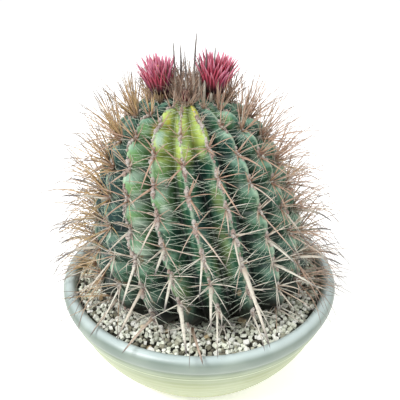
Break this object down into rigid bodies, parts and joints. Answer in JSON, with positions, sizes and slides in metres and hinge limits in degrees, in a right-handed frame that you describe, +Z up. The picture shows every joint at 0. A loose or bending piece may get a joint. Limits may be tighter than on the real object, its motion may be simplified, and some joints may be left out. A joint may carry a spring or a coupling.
{
  "type": "potted round cactus",
  "caption": "Ribbed, spiny globe cactus with magenta crown flowers, growing in a shallow round glazed bowl dressed with pumice gravel.",
  "frame": {"origin": "centre of the bowl's foot, on the surface that it stands on", "axes": "+Z up through the plant, -Y towards the side that faces the viewer in the picture, +X to that viewer's right"},
  "size_m": [0.2954, 0.294, 0.3252],
  "materials": {
    "glaze": "satin",
    "net": "matte",
    "pumice": "matte",
    "soil": "matte",
    "gravel": "matte",
    "stem": "satin",
    "spine": "satin",
    "tube": "satin",
    "petal": "satin",
    "stamen": "matte",
    "stigma": "matte",
    "bud": "satin"
  },
  "bodies": {
    "root": {"pot": "glaze", "drain_net": "net", "drainage_pumice": "pumice", "soil": "soil", "top_gravel": "gravel", "stem": "stem", "spines_rib_01": "spine", "spines_rib_02": "spine", "spines_rib_03": "spine", "spines_rib_04": "spine", "spines_rib_05": "spine", "spines_rib_06": "spine", "spines_rib_07": "spine", "spines_rib_08": "spine", "spines_rib_09": "spine", "spines_rib_10": "spine", "spines_rib_11": "spine", "spines_rib_12": "spine", "spines_rib_13": "spine", "spines_rib_14": "spine", "spines_rib_15": "spine", "spines_rib_16": "spine", "spines_rib_17": "spine", "spines_rib_18": "spine", "spines_crown": "spine", "flower_left_tube": "tube", "flower_left_petals": "petal", "flower_left_stamens": "stamen", "flower_left_stigma": "stigma", "flower_right_tube": "tube", "flower_right_petals": "petal", "flower_right_stamens": "stamen", "flower_right_stigma": "stigma", "flower_bud": "bud"}
  },
  "joints": []
}
